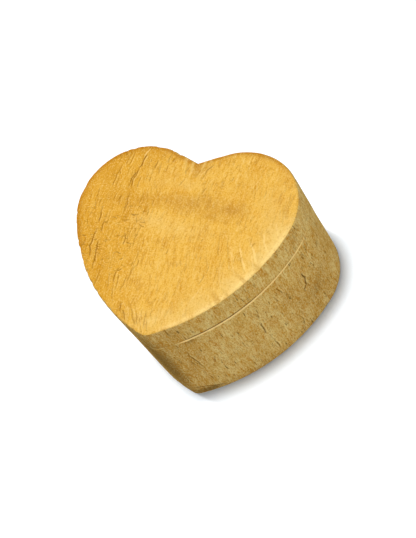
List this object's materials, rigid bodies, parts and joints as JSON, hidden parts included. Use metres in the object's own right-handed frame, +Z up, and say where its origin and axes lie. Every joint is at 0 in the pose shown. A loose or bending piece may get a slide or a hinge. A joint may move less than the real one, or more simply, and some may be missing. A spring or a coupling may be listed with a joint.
{
  "type": "wind up music box",
  "caption": "Heart-shaped wooden keepsake box with a hinged crowned lid, lined compartments and a key-wound comb and cylinder musical movement under a clear window.",
  "frame": {"origin": "middle of the bounding box in plan, on the surface that the box stands on", "axes": "+Z up; the heart's tip points to -Y and its cleft, with the hinges beside it, to +Y; +X is to the right seen from the tip"},
  "size_m": [0.12, 0.1064, 0.0749],
  "materials": {
    "case_wood": "old satin varnish over solid wood",
    "lid_wood": "golden varnish over solid wood",
    "housing_wood": "satin varnish",
    "felt_green": "pressed felt",
    "velvet_red": "short velvet pile",
    "clear_acrylic": "clear polished sheet",
    "brass": "turned and lightly polished",
    "aged_brass": "aged brass",
    "zinc_plate": "plated zinc casting",
    "steel": "ground steel",
    "blued_steel": "heat-blued steel",
    "comb_steel": "ground and lacquered spring steel",
    "brake_leather": "plain hide"
  },
  "bodies": {
    "case": {"case_body": "case_wood", "base_felt": "felt_green", "floor_lining": "velvet_red", "wall_lining": "velvet_red", "movement_housing": "housing_wood", "movement_window": "clear_acrylic", "window_screws": "brass", "stop_pin_bush": "brass", "hinge_base_leaves": "aged_brass", "hinge_pins": "aged_brass", "hinge_base_screws": "brass", "bedplate": "zinc_plate", "movement_screws": "steel", "arbor_bush": "brass", "spring_cup": "steel", "mainspring": "blued_steel", "comb_base": "zinc_plate", "comb": "comb_steel", "comb_screws": "blued_steel", "cylinder_bridge": "zinc_plate", "bridge_screw": "blued_steel", "governor_frame": "zinc_plate", "governor_screws": "blued_steel", "lever_pivot": "steel", "lever_spring": "steel"},
    "lid": {"lid_shell": "lid_wood", "lid_lining": "velvet_red", "hinge_lid_leaves": "aged_brass", "hinge_lid_screws": "brass"},
    "winding_train": {"winding_key": "brass", "winding_arbor": "steel", "main_wheel": "brass", "ratchet_wheel": "blued_steel", "click": "steel", "click_spring": "blued_steel"},
    "cylinder": {"pinned_cylinder": "brass", "cylinder_ends": "brass", "cylinder_arbor": "steel", "cylinder_pinion": "brass", "cylinder_wheel": "brass"},
    "second_shaft": {"second_arbor": "steel", "second_pinion": "blued_steel", "second_wheel": "brass"},
    "third_shaft": {"third_arbor": "steel", "third_pinion": "blued_steel", "worm_wheel": "brass"},
    "governor": {"worm_shaft": "steel", "air_fan": "steel", "brake_disc": "brass"},
    "brake_lever": {"stop_lever": "zinc_plate", "brake_pad": "brake_leather"},
    "lid_plunger": {"stop_pin": "steel"}
  },
  "joints": [
    {"name": "lid_hinge", "type": "hinge", "parent": "case", "child": "lid", "pos_m": [0, 0.05184, 0.05685], "axis": [-1, 0, 0], "range_deg": [0, 100]},
    {"name": "cylinder_turn", "type": "hinge", "parent": "case", "child": "cylinder", "pos_m": [0.0095, 0.0178, 0.03364], "axis": [1, 0, 0], "continuous": true},
    {"name": "winding_turn", "type": "hinge", "parent": "case", "child": "winding_train", "pos_m": [-0.0154, 0.0178, 0.028], "axis": [0, 0, 1], "continuous": true},
    {"name": "second_turn", "type": "hinge", "parent": "case", "child": "second_shaft", "pos_m": [0.024, 0.00976, 0.03103], "axis": [1, 0, 0], "continuous": true},
    {"name": "third_turn", "type": "hinge", "parent": "case", "child": "third_shaft", "pos_m": [0.024, 0.00331, 0.02989], "axis": [1, 0, 0], "continuous": true},
    {"name": "governor_spin", "type": "hinge", "parent": "case", "child": "governor", "pos_m": [0.0257, -0.00134, 0.02989], "axis": [0, 0, 1], "continuous": true},
    {"name": "brake_lever_tilt", "type": "hinge", "parent": "case", "child": "brake_lever", "pos_m": [0.0252, 0.0148, 0.04298], "axis": [-1, 0, 0], "range_deg": [0, 10.5]},
    {"name": "plunger_slide", "type": "slide", "parent": "case", "child": "lid_plunger", "axis": [0, 0, 1], "range_m": [0, 0.0015]}
  ],
  "couplings": [
    {"joint": "winding_turn", "follows": "cylinder_turn", "ratio": 0.33333},
    {"joint": "second_turn", "follows": "cylinder_turn", "ratio": -3.6667},
    {"joint": "third_turn", "follows": "cylinder_turn", "ratio": 12.222},
    {"joint": "governor_spin", "follows": "cylinder_turn", "ratio": 293.33},
    {"joint": "brake_lever_tilt", "follows": "lid_hinge", "ratio": 0.105},
    {"joint": "plunger_slide", "follows": "lid_hinge", "m_per_rad": 0.00085943}
  ]
}
